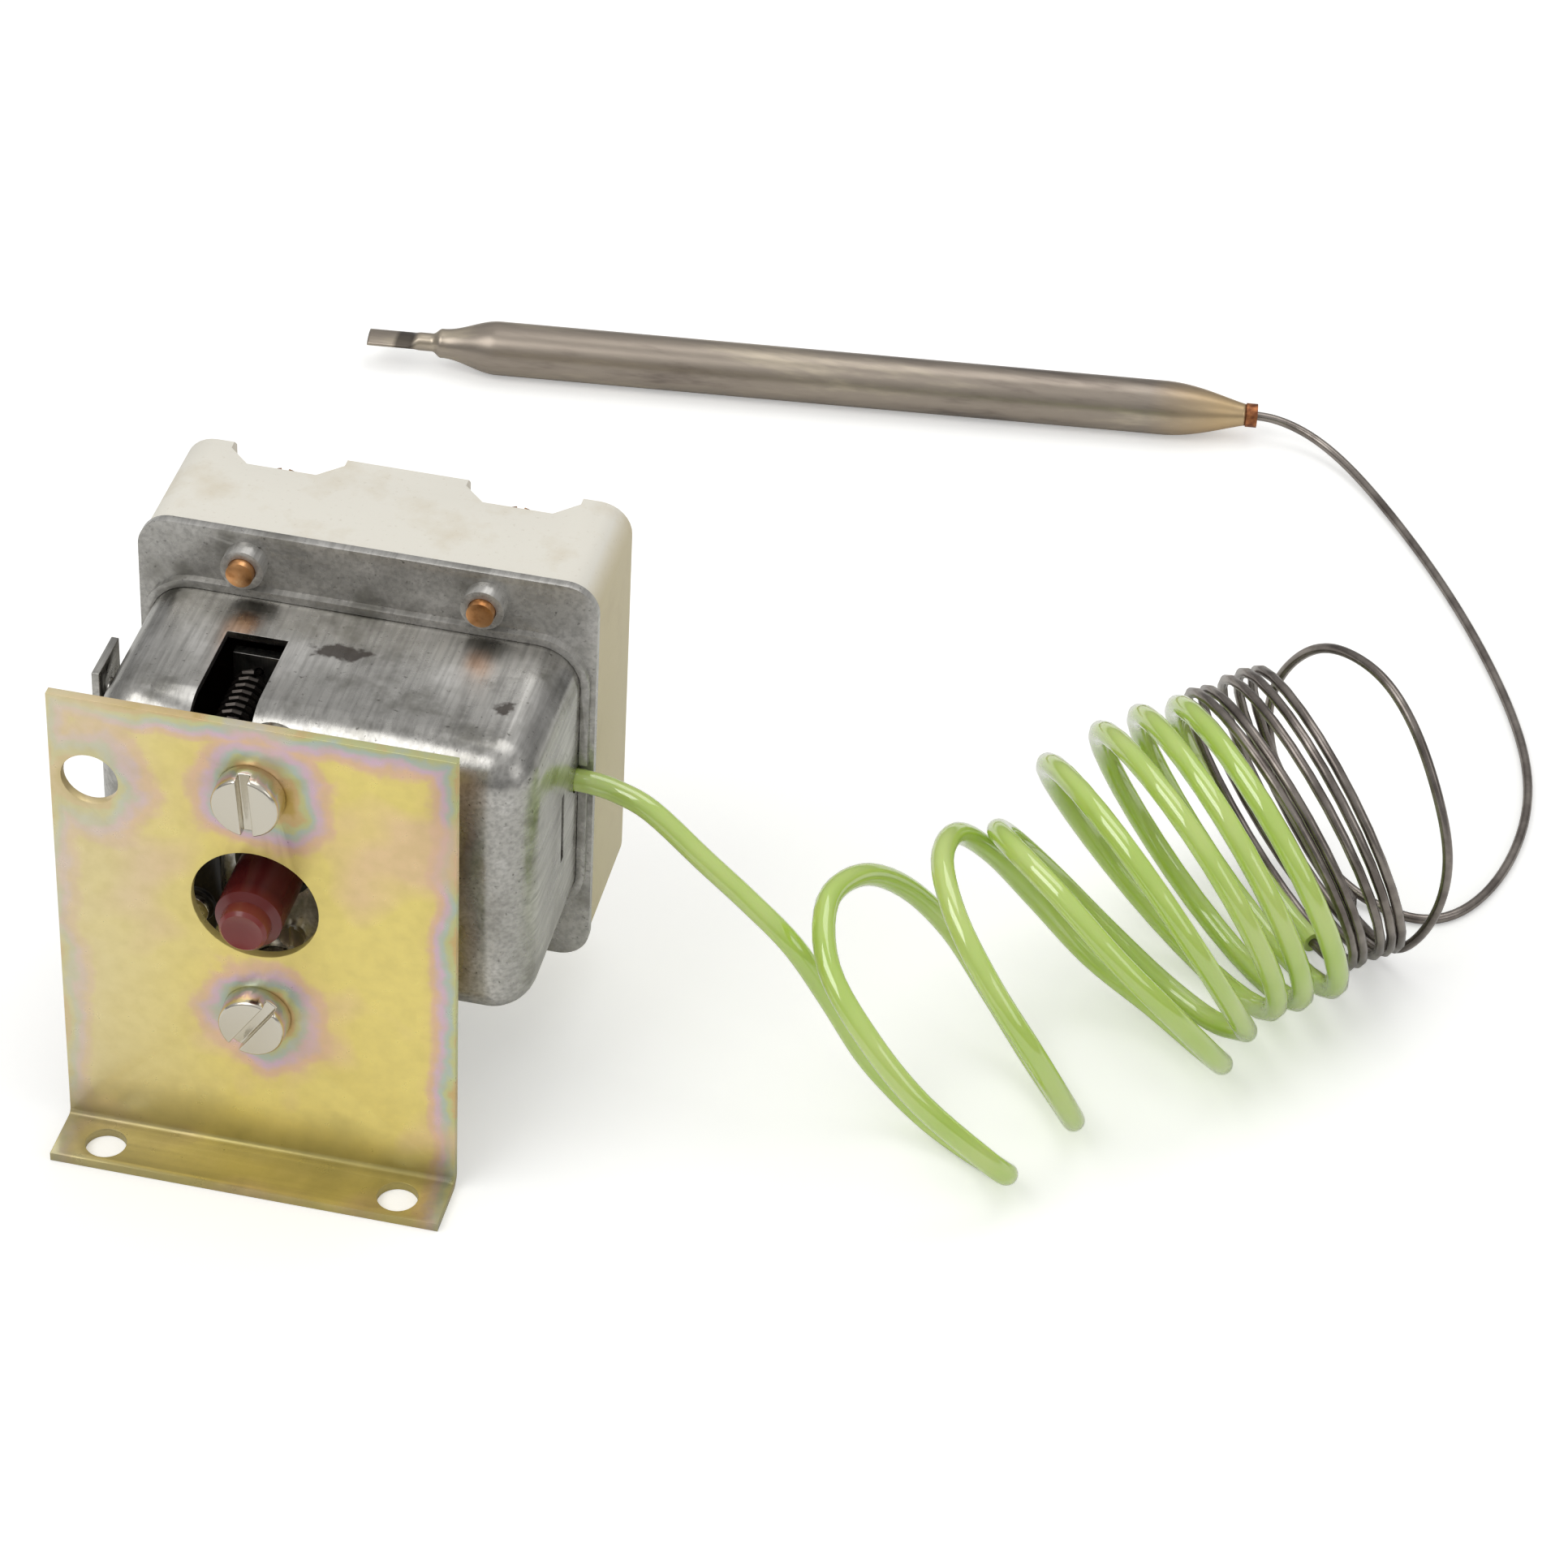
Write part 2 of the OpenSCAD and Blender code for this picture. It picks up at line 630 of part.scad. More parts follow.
module trip_lever() color("lightslategray") {
    difference() {
        union() {
            translate([-lever_w / 2, lever_y, lever_low])
                cube([lever_w, lever_t, lever_high - lever_low]);
            translate([spring_x - 2.7, lever_y, lever_high - eps])
                cube([5.4, lever_t, tongue_high - lever_high]);
            translate([-lever_w / 2, pivot_y, pivot_z]) rotate([0, 90, 0])
                cylinder(d = knuckle_d, h = lever_w);
        }
        translate([-lever_w / 2 - 1, pivot_y, pivot_z]) rotate([0, 90, 0])
            cylinder(d = pin_d + 0.12, h = lever_w + 2);
        translate([spring_x, 0, spring_z]) bar_y(1, lever_y - 1, lever_y + lever_t + 1);
    }
}
module lever_pin() color("silver") {
    reach = frame_w / 2 + frame_t;
    translate([-reach - 0.8, pivot_y, pivot_z]) rotate([0, 90, 0]) {
        cylinder(d = pin_d, h = 2 * reach + 1.1);
        cylinder(d = pin_d + 1.2, h = 0.8);
    }
}
/* Tension spring: close turns between two hooks that reach through frame and lever */
module trip_spring() color("dimgray") {
    wire = 0.6;
    coil_r = 1.7;
    from = guide_front + 2.2;
    to = lever_y - 2.4;
    turns = 7;
    per = 12;
    coils = [
        for (k = [0 : turns * per])
            let (u = k / (turns * per))
            [coil_r * sin(360 * k / per), from + (to - from) * u, coil_r * cos(360 * k / per)]
    ];
    front_hook = [[0, can_in + 0.5, 0], [0, guide_front + 0.8, 0], [0, from - 0.9, 0.7]];
    back_hook = [[0, to + 0.9, 0.7], [0, lever_y - 0.4, 0], [0, lever_y + 0.7, 0]];
    translate([spring_x, 0, spring_z])
        sweep(concat(front_hook, coils, back_hook), wire / 2, 6, [1, 0, 0]);
}

module diaphragm_capsule() color("darkkhaki") {
    rise = 0.5;
    nub = 4;
    translate([capsule_x, 0, capsule_z]) rotate([-90, 0, 0]) rotate_extrude()
        polygon([
            [0, capsule_y], [capsule_d / 2 - 2, capsule_y], [capsule_d / 2 - 1, capsule_y + rise],
            [capsule_d / 2, capsule_y + 1], [capsule_d / 2, capsule_y + capsule_t - 1],
            [capsule_d / 2 - 1, capsule_y + capsule_t - rise],
            [nub / 2 + 1, capsule_y + capsule_t], [nub / 2, capsule_y + capsule_t],
            [nub / 2, lever_y - 0.3], [0, lever_y - 0.3]
        ]);
}
/* Its front end is riveted over in the cover's face; a slotted neck and a nut carry the capsule */
module calibration_screw() color("silver") {
    translate([capsule_x, 0, capsule_z]) difference() {
        union() {
            bar_y(neck_d - 1.4, can_front - 0.6, can_front);
            bar_y(neck_d - 1.6, can_front - 0.3, can_in + 0.5);
            bar_y(neck_d, can_in + 0.1, capsule_y);
            bar_y(neck_d + 2.6, guide_front, guide_front + 1.4);
        }
        translate([-0.25, can_front - 1.6, -neck_d]) cube([0.5, 1.3, 2 * neck_d]);
    }
}
/* The capillary inside the cover, from the capsule's edge to the outlet */
module inner_capillary() color("dimgray") {
    y = capsule_y + capsule_t / 2;
    side = capsule_x + capsule_d / 2;
    route = [
        [side - 0.2, y, capsule_z], [side + 2, y, capsule_z],
        [side + 5, y + 0.4, capsule_z + 0.4], [exit_x - 6.5, y + 3, capsule_z + 3.6],
        [exit_x - 4.6, exit_y - 2, exit_z - 5], [exit_x - 3.6, exit_y - 0.4, exit_z - 1.4],
        [exit_x - 2.4, exit_y, exit_z], [exit_x - 1.3, exit_y, exit_z]
    ];
    sweep(smooth(route, 3), capillary_d / 2, 8);
}

module contact_carrier() color("saddlebrown") {
    lug_w = 6;
    difference() {
        union() {
            translate([can_x - carrier_w / 2, carrier_front, axis_z - carrier_h / 2])
                cube([carrier_w, carrier_back - carrier_front, carrier_h]);
            translate([-lug_w / 2, carrier_front, axis_z]) cube([lug_w, 1.2, push_z - axis_z + push_d / 2]);
            translate([0, 0, push_z])
                bar_y(push_d, lever_y + lever_t + seat_gap + 0.1, carrier_front + eps);
        }
        for (p = [-1 : 1])
            translate([can_x + p * pole_gap - window_w / 2, window_front, axis_z - carrier_h])
                cube([window_w, window_back - window_front, 2 * carrier_h]);
        for (s = [-1, 1])
            translate([can_x + s * pole_gap / 2, 0, axis_z]) bar_y(pocket_d, pocket_front, carrier_back + 1);
    }
}
module bridge(pole) {
    reach = contact_z + contact_d / 2 + 0.3;
    translate([can_x + pole * pole_gap, 0, axis_z]) {
        slab(bridge_front, bridge_back) plate_outline(bridge_w, 2 * reach, 0.8);
        for (s = [-1, 1])
            translate([0, 0, s * contact_z]) bar_y(contact_d - 0.4, bridge_back - eps, bridge_back + bridge_tip);
    }
}
module bridge_left() color("darkgoldenrod") bridge(-1);
module bridge_middle() color("darkgoldenrod") bridge(0);
module bridge_right() color("darkgoldenrod") bridge(1);
module contact_springs() color("silver") {
    for (p = [-1 : 1])
        translate([can_x + p * pole_gap, window_front + 0.05, axis_z])
            spring(4, 0.5, bridge_front - window_front - 0.1, 3);
}
module carrier_springs() color("silver") {
    for (s = [-1, 1])
        translate([can_x + s * pole_gap / 2, pocket_front + 0.05, axis_z])
            spring(3.8, 0.5, chamber_end - pocket_front - 0.1, 4);
}

/* Tabs 1 to 3 in the upper row and 4 to 6 in the lower row, left to right from the back */
module terminal(number) {
    pole = 1 - (number - 1) % 3;
    side = number > 3 ? -1 : 1;
    taper = 1;
    z = side * tab_place();
    inner = min(0, side * (contact_z - contact_d / 2));
    translate([can_x + pole * pole_gap, 0, axis_z]) {
        difference() {
            union() {
                translate([-tab_w / 2, chamber_end - fixed_t, side > 0 ? contact_z - 2.4 : z - tab_t / 2])
                    cube([tab_w, fixed_t, tab_place() + tab_t / 2 - contact_z + 2.4]);
                translate([0, 0, z - tab_t / 2]) linear_extrude(tab_t) polygon([
                    [-tab_w / 2, chamber_end - fixed_t], [tab_w / 2, chamber_end - fixed_t],
                    [tab_w / 2, base_end + tab_len - taper], [tab_w / 2 - taper, base_end + tab_len],
                    [-tab_w / 2 + taper, base_end + tab_len], [-tab_w / 2, base_end + tab_len - taper]
                ]);
            }
            translate([0, base_end + tab_len - 3.6, z - 1]) cylinder(d = 1.6, h = 2);
        }
        translate([0, 0, side * contact_z]) bar_y(contact_d, fixed_face, chamber_end - fixed_t + eps);
    }
}
module terminal_1() color("khaki") terminal(1);
module terminal_2() color("khaki") terminal(2);
module terminal_3() color("khaki") terminal(3);
module terminal_4() color("khaki") terminal(4);
module terminal_5() color("khaki") terminal(5);
module terminal_6() color("khaki") terminal(6);

module sleeve_lead() color("yellowgreen") sweep(smooth(sleeve_route, 2), sleeve_d / 2, 8);
module wound(from, length, d) {
    translate([coil_from[0], coil_from[1], coil_d / 2]) rotate([0, 0, coil_dir])
        translate([from, 0, 0]) rotate([0, 90, 0]) cylinder(d = d, h = length);
}
module sleeve_coil() color("yellowgreen") wound(0, sleeve_coil_len, coil_d);
module capillary_coil() color("dimgray") wound(sleeve_coil_len, capillary_coil_len, coil_d);
module capillary_lead() color("dimgray") sweep(smooth(capillary_route, 2), capillary_d / 2, 8);

module sensor_bulb() color("darkgray") {
    r = bulb_d / 2;
    end_r = 1.3;
    neck_r = 1.5;
    crimp_w = 2.6;
    crimp_t = 1;
    crimp_len = 7;
    cone_from = bulb_cone + bulb_body;
    tail_end = cone_from + bulb_tail;
    translate([bulb_end[0], bulb_end[1], r]) rotate([0, 0, bulb_turn + 180]) {
        rotate([0, 90, 0]) rotate_extrude() polygon([
            [0, 0], [end_r, 0], [end_r + 0.3, 0.6], [r, bulb_cone], [r, cone_from],
            [neck_r, cone_from + 7], [neck_r, tail_end - crimp_len + 0.8], [0, tail_end - crimp_len + 0.8]
        ]);
        translate([tail_end - crimp_len, -crimp_w / 2, -crimp_t / 2]) cube([crimp_len, crimp_w, crimp_t]);
    }
}
module bulb_collar() color("peru") {
    translate([bulb_end[0], bulb_end[1], bulb_d / 2]) rotate([0, 0, bulb_turn]) rotate([0, 90, 0])
        difference() {
            cylinder(d = 3, h = 1.4);
            translate([0, 0, -1]) cylinder(d = capillary_d + 2 * fit_gap, h = 4);
        }
}

bracket();
bracket_screws();
pillars();
cover_can();
rim_plate();
ceramic_base();
base_screws();
ground_tab();
front_insulator();
insulator_screw();
mechanism_frame();
button_guide();
reset_button();
button_spring();
trip_lever();
lever_pin();
trip_spring();
diaphragm_capsule();
calibration_screw();
inner_capillary();
contact_carrier();
bridge_left();
bridge_middle();
bridge_right();
contact_springs();
carrier_springs();
terminal_1();
terminal_2();
terminal_3();
terminal_4();
terminal_5();
terminal_6();
sleeve_lead();
sleeve_coil();
capillary_coil();
capillary_lead();
sensor_bulb();
bulb_collar();
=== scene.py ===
"""Looks of the manual-reset temperature limiter: finishes, cords, lights and camera over the
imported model. Lengths are in mm unless a name or comment says otherwise."""

import json
import math

import bmesh
import bpy
import numpy as np
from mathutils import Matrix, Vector

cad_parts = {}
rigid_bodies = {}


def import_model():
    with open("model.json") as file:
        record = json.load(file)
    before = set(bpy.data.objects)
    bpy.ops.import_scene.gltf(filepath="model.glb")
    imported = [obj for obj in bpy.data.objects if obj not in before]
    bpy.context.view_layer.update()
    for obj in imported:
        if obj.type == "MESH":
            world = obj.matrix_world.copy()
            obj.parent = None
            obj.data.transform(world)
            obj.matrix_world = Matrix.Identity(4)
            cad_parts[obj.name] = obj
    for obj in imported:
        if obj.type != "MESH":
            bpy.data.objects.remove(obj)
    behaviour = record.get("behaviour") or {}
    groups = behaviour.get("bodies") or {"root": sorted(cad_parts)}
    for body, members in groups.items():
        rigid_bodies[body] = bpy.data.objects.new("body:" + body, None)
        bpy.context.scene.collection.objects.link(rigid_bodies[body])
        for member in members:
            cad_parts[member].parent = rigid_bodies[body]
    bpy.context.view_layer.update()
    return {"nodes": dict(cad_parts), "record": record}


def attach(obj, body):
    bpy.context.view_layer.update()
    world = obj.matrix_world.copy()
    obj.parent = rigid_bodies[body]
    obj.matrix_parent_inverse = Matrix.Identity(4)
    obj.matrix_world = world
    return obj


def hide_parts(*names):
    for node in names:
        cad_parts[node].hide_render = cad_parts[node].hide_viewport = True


MM = 0.001

# Camera, fitted to the bracket, the rim plate and the ceramic base
CAMERA_AZIMUTH = 9.92
CAMERA_ELEVATION = 38.25
CAMERA_ROLL = 3.48
CAMERA_DISTANCE = 483.37
CAMERA_SLIDE = (-53.44, -37.8)
CAMERA_FOCUS_Y = 3.6
CAMERA_LENS = 108.47
SENSOR = 36.0

# Button side of the head: the places that the finishes follow
SCREW_X = 0.8
SCREW_Z = (47.0, 19.0)
CORNER_HOLE = (-16.4, 45.3)
PLATE_HALF = 20.4
PLATE_TOP = 55.0
CAN_TOP = 49.6
# Dark scuffs on the cover's top: place, half width and half depth
SCUFFS = [(2.6, 24.3, 2.7, 1.1), (21.0, 19.4, 0.9, 1.3)]

# Cords
SLEEVE_RADIUS = 1.2
CAPILLARY_RADIUS = 0.55
TURN_RADIUS = 16.5
TURN_HEIGHT = 17
TURN_NORMAL = (0.815, 0.496, 0.299)
TURN_TOP = (-0.537, 0.464, 0.70)
FIRST_STATION = 6
LAST_STATION = 23.73
SLEEVE_LAST_STATION = 13.8
POINTS_PER_HALF_TURN = 14
# The sleeve's way from the cover to the floor, as in the part's source
SLEEVE_ROUTE = [
    (24.6, 30.1, 34), (27, 30.1, 34), (30, 30, 33.5), (34, 29, 32.5), (40, 27.5, 28.5),
    (45, 26.5, 25), (50, 25, 21.5), (54, 25.5, 15), (58, 25.5, 8.5),
]
SLEEVE_LANDING = [(61.7, 25.1, 4.6), (65.6, 23.7, 2.4), (69.4, 22, 1.4), (72.8, 19.9, 1.5)]
# The first three turns, which hang open: twelve points each, from the floor up the near side
OPEN_TURNS = [
    (75, 16.2, 3.9), (73.4, 14, 7), (66.2, 12.2, 14.8), (60.3, 13.5, 20.8), (55, 18, 25.4),
    (53.2, 25.3, 27.8), (55.4, 32.5, 26.1), (59.2, 37.9, 21), (63.9, 40.5, 14.3),
    (68.8, 39.7, 7.6), (73.7, 36.3, 3.2), (77.9, 31.3, 2), (80.3, 26, 3.9), (79.1, 22.5, 9.6),
    (75.8, 21, 16.5), (70.9, 22.3, 22.9), (66.2, 26.6, 27.5), (63.4, 33.2, 29.2),
    (63.8, 40.4, 27.2), (67.1, 45.6, 21.1), (71.9, 48.5, 13.6), (78.2, 48.7, 6.9),
    (85.5, 46.8, 3.2), (91.1, 42.5, 2.6), (94, 37.2, 5.3), (93, 32.2, 10.7), (88.8, 29, 17.6),
    (82.4, 28.6, 24.1), (75.8, 31.3, 28.8), (70.4, 36, 29.9), (67.8, 41.8, 27.4),
    (69, 47.3, 22), (73.2, 50.9, 15.1), (79.3, 51.8, 8.4), (86.1, 50, 3.9), (92, 46.5, 2.9),
]
# Centres of the close turns, one for each half turn from FIRST_STATION: bottom, top and so on
TURN_CENTRES = [
    (87, 50.5), (80, 45), (89, 54.5), (84.5, 52), (91.5, 56.8), (88, 56), (94.8, 59.8),
    (91.8, 58.7), (96.1, 63.8), (92.8, 61.4), (97, 64.6), (94.2, 62.3), (98.6, 66.4),
    (96.1, 64.7), (99.7, 67.3), (97.6, 66.4), (100.6, 68.1), (99.1, 67.3), (101.6, 69.1),
]
# The bare capillary's open loop and its way to the bulb, as in the part's source
CAPILLARY_ROUTE = [
    (104, 68, 2), (109, 65, 1), (111, 63, 3.5), (113.5, 60, 10.5), (114, 59, 17),
    (113.5, 59.5, 21.5), (111.5, 61, 26.5), (109, 63.5, 31), (106.5, 66, 33.5),
    (103.5, 69.5, 35), (99.5, 73.5, 34), (96.5, 77.5, 31.5), (93.5, 81, 26.5),
    (91.5, 83, 20.5), (91.5, 83.5, 15), (93.5, 82, 9.5), (97, 79, 5), (101, 76, 2),
    (105.5, 73.5, 0.8), (110.5, 71.5, 0.6), (115.5, 72.5, 0.6), (120, 80.5, 0.6),
    (122, 92, 0.6), (121.5, 102.5, 0.6), (118, 114, 0.6), (113, 126, 0.6), (107, 138, 0.6),
    (100, 149.5, 0.6), (93.5, 158.5, 1), (88, 162, 2.4), (83.5, 162.4, 3.3), (81.5, 162.2, 3.4),
]

# Steps of the drawn lines between two given points, and rounds that ease the capillary's tail
LEAD_STEPS = 5
TAIL_STEPS = 6
TURN_STEPS = 20
TAIL_ROUNDS = 30

# Sensor bulb: its capillary end, its direction in degrees and its sections
BULB_END = (80.0, 162.0)
BULB_TURN = 187.0
BULB_RADIUS = 3.4
BULB_CONE = 10.5
BULB_BODY = 84.0
BULB_TAIL = 16.5
BULB_END_RADIUS = 1.35
CONE_ROUNDING = 1.15
SHOULDER = 7.0
NECK_RADIUS = 1.85
NECK_STEP_AT = 7.4
NECK_STEP_LONG = 0.8
NECK_STEP_DEEP = 0.7
CRIMP = 6.6
CRIMP_RUN_IN = 1.3
CRIMP_HALF_WIDE = 1.75
CRIMP_HALF_HIGH = 0.55
# The capillary's line inside the bulb: where it is given, as far as it runs
CAPILLARY_IN_BULB = (3.0, 20.0, 60.0)

# Edges of the finished copies: points closer than MERGE (in m) become one, faces closer than
# FLAT_TURN degrees one face, and edges sharper than SHARP_TURN degrees are broken
MERGE = 2e-6
FLAT_TURN = 0.6
SHARP_TURN = 32

# Stage and lights, in metres and radiance: place, size and radiance of each softbox
FLOOR_HALF = 4.0
FLOOR_Z = -0.00002
FLOOR_GLOW = 0.34
ROOM_LOW = 0.22
ROOM_HIGH = 0.62
AIM = (0.05, 0.06, 0.02)
SOFTBOXES = {
    "key": ((-0.35, -0.35, 0.75), 0.55, 2.35),
    "top": ((0.15, 0.35, 0.8), 0.5, 1.4),
    "side": ((0.8, -0.2, 0.45), 0.4, 1.0),
}


def linear(code):
    """An sRGB hex colour as linear RGBA."""
    rgb = np.array([int(code[i : i + 2], 16) for i in (1, 3, 5)]) / 255
    rgb = np.where(rgb <= 0.04045, rgb / 12.92, ((rgb + 0.055) / 1.055) ** 2.4)
    return (*rgb.tolist(), 1.0)


def add(tree, kind, settings=None, **inputs):
    """A node of that kind with its settings, whose inputs are values or other nodes' sockets.

    An input is named by its label with _ for a space, or by in0, in1 and so on.
    """
    new = tree.nodes.new("ShaderNode" + kind)
    for key, value in (settings or {}).items():
        setattr(new, key, value)
    for key, value in inputs.items():
        name = key.replace("_", " ")
        numbered = key[:2] == "in" and key[2:].isdigit()
        socket = new.inputs[int(key[2:]) if numbered else name]
        if isinstance(value, bpy.types.NodeSocket):
            tree.links.new(value, socket)
        else:
            socket.default_value = value
    return new


def ramp(tree, factor, stops):
    """An eased colour ramp over (position, hex colour) stops; returns its colour socket."""
    made = add(tree, "ValToRGB", Fac=factor)
    band = made.color_ramp
    band.interpolation = "EASE"
    while len(band.elements) < len(stops):
        band.elements.new(1.0)
    for element, (place, code) in zip(band.elements, stops):
        element.position = place
        element.color = linear(code)
    return made.outputs["Color"]


def arith(tree, operation, a, b=0.0):
    """One step of arithmetic on values or sockets; returns the socket."""
    return add(tree, "Math", {"operation": operation}, in0=a, in1=b).outputs[0]


def vectors(tree, operation, a, b, output=0):
    """One step of vector arithmetic on vectors or sockets; returns the socket."""
    return add(tree, "VectorMath", {"operation": operation}, in0=a, in1=b).outputs[output]


def grit(tree, place, size_mm, stretch=(1, 1, 1), detail=3.0, roughness=0.55):
    """Noise whose grains are size_mm across, along stretched object axes; returns 0..1."""
    scaled = vectors(tree, "MULTIPLY", place, tuple(s / size_mm for s in stretch))
    return add(
        tree, "TexNoise", Vector=scaled, Scale=1.0, Detail=detail, Roughness=roughness
    ).outputs["Fac"]


def finish(name, rough=0.5, metal=0.0, colour="#808080"):
    """A new material: its node tree, its principled shader and the place in mm on the object."""
    made = bpy.data.materials.new(name)
    made.use_nodes = True
    tree = made.node_tree
    shader = tree.nodes["Principled BSDF"]
    shader.inputs["Base Color"].default_value = linear(colour)
    shader.inputs["Roughness"].default_value = rough
    shader.inputs["Metallic"].default_value = metal
    coords = add(tree, "TexCoord").outputs["Object"]
    place = add(
        tree, "VectorMath", {"operation": "SCALE"}, in0=coords, Scale=1 / MM
    ).outputs[0]
    return made, tree, shader, place


def relief(tree, shader, height, depth_mm, strength=1.0):
    """Raises the surface by a height of 0..1 times depth_mm."""
    bump = add(tree, "Bump", Height=height, Distance=depth_mm * MM, Strength=strength)
    tree.links.new(bump.outputs["Normal"], shader.inputs["Normal"])


def scale_value(tree, value, low, high, to_low, to_high):
    """A value stretched from low..high to to_low..to_high, held at its ends."""
    return add(
        tree, "MapRange", in0=value, in1=low, in2=high, in3=to_low, in4=to_high
    ).outputs[0]


def mixed(tree, factor, a, b):
    """Two colours or colour sockets mixed; returns the socket."""
    made = add(tree, "Mix", {"data_type": "RGBA"})
    for socket, value in ((made.inputs[0], factor), (made.inputs[6], a), (made.inputs[7], b)):
        if isinstance(value, bpy.types.NodeSocket):
            tree.links.new(value, socket)
        else:
            socket.default_value = value
    return made.outputs[2]


def yellow_chromated_zinc():
    """Steel sheet zinc plated and yellow passivated: satin gold with interference colours
    that run pink, lilac, blue and green round holes, screws and cut edges. Darker olive towards
    the bottom and on the flange: painted shade."""
    made, tree, shader, place = finish("yellow_chromated_zinc", rough=0.34, metal=0.42)
    split = add(tree, "SeparateXYZ", Vector=place)
    x, y, z = split.outputs
    cloud = grit(tree, place, 7.0, detail=4.0)
    fine = grit(tree, place, 1.6, detail=5.0)
    flat = add(tree, "CombineXYZ", X=x, Y=0.0, Z=z).outputs[0]
    near = None
    spots = [(SCREW_X, SCREW_Z[0], 3.6), (SCREW_X, SCREW_Z[1], 3.4), (*CORNER_HOLE, 3.4)]
    for spot_x, spot_z, radius in spots:
        away = vectors(tree, "DISTANCE", flat, (spot_x, 0, spot_z), "Value")
        ring = arith(tree, "SUBTRACT", away, radius)
        near = ring if near is None else arith(tree, "MINIMUM", near, ring)
    side = arith(tree, "SUBTRACT", PLATE_HALF, arith(tree, "ABSOLUTE", x))
    top = arith(tree, "SUBTRACT", PLATE_TOP, z)
    edge = arith(tree, "MULTIPLY", arith(tree, "MINIMUM", side, top), 1.5)
    near = arith(tree, "MINIMUM", near, edge)
    waver = arith(tree, "MULTIPLY", arith(tree, "SUBTRACT", cloud, 0.5), 7.0)
    film = scale_value(tree, arith(tree, "ADD", near, waver), -1.2, 6.0, 0.0, 1.0)
    rings = ramp(tree, film, [
        (0.0, "#C9A854"), (0.1, "#DDBE86"), (0.2, "#D2D49A"), (0.32, "#C2CFC2"),
        (0.46, "#E3C4D2"), (0.62, "#F0C9A6"), (0.8, "#F8E28A"), (1.0, "#F9E588"),
    ])
    broad = grit(tree, place, 17.0, detail=2.0)
    blush = mixed(tree, scale_value(tree, broad, 0.5, 0.62, 0.0, 0.7), rings, linear("#F6D0AE"))
    faded = scale_value(tree, arith(tree, "ADD", x, waver), -3.0, -17.0, 0.0, 0.6)
    pale = mixed(tree, faded, blush, linear("#F0E2BC"))
    # Darker olive towards the bottom and on the flange: painted shade standing for the dark
    # reflection above the flange.
    low = scale_value(tree, arith(tree, "ADD", z, waver), 1.0, 7.0, 0.7, 0.0)
    olive_painted_shade = mixed(tree, low, pale, linear("#8C8250"))
    mottled = mixed(
        tree, scale_value(tree, fine, 0.4, 0.8, 0.0, 0.3), olive_painted_shade, linear("#D6C47C")
    )
    tree.links.new(mottled, shader.inputs["Base Color"])
    rough = scale_value(tree, fine, 0.3, 0.7, 0.26, 0.42)
    tree.links.new(rough, shader.inputs["Roughness"])
    relief(tree, shader, grit(tree, place, 0.35, (1, 1, 0.25)), 0.01, 0.6)
    return made


def bright_nickel():
    """Nickel plated steel screws and pillars: white metal, smooth, with sharp highlights."""
    made, tree, shader, place = finish("bright_nickel", rough=0.2, metal=1.0, colour="#DAD4C6")
    relief(tree, shader, grit(tree, place, 0.3), 0.006, 0.5)
    return made


def drawn_tinned_steel(name="drawn_tinned_steel", metal=1.0):
    """Deep drawn, tinned sheet of cover and rim: grey and bright, with draw lines from front
    to back, cloudy handling marks, small dark specks and the scuffs on the cover's top."""
    made, tree, shader, place = finish(name, rough=0.3, metal=metal)
    lines = grit(tree, place, 0.45, (1, 0.05, 1), detail=4.0)
    cloud = grit(tree, place, 6.0, detail=4.0, roughness=0.6)
    speck = grit(tree, place, 0.55, detail=2.0)
    base = ramp(tree, cloud, [(0.3, "#8F8D86"), (0.5, "#B8B6B1"), (0.72, "#D0CECA")])
    lined = mixed(tree, scale_value(tree, lines, 0.4, 0.7, 0.0, 0.5), base, linear("#7C7A77"))
    specks = scale_value(tree, speck, 0.66, 0.76, 0.0, 0.7)
    worn = mixed(tree, specks, lined, linear("#57544F"))
    ragged = arith(tree, "MULTIPLY", arith(tree, "SUBTRACT", grit(tree, place, 1.8), 0.5), 3.0)
    for scuff_x, scuff_y, half_wide, half_deep in SCUFFS:
        apart = vectors(tree, "SUBTRACT", place, (scuff_x, scuff_y, CAN_TOP))
        reach = vectors(tree, "MULTIPLY", apart, (1 / half_wide, 1 / half_deep, 1))
        away = vectors(tree, "LENGTH", reach, (0, 0, 0), "Value")
        mark = scale_value(tree, arith(tree, "ADD", away, ragged), 0.9, 1.3, 0.85, 0.0)
        worn = mixed(tree, mark, worn, linear("#4C4540"))
    tree.links.new(worn, shader.inputs["Base Color"])
    tree.links.new(scale_value(tree, cloud, 0.3, 0.7, 0.2, 0.36), shader.inputs["Roughness"])
    relief(tree, shader, arith(tree, "ADD", lines, arith(tree, "MULTIPLY", cloud, 3.0)), 0.02, 0.5)
    return made


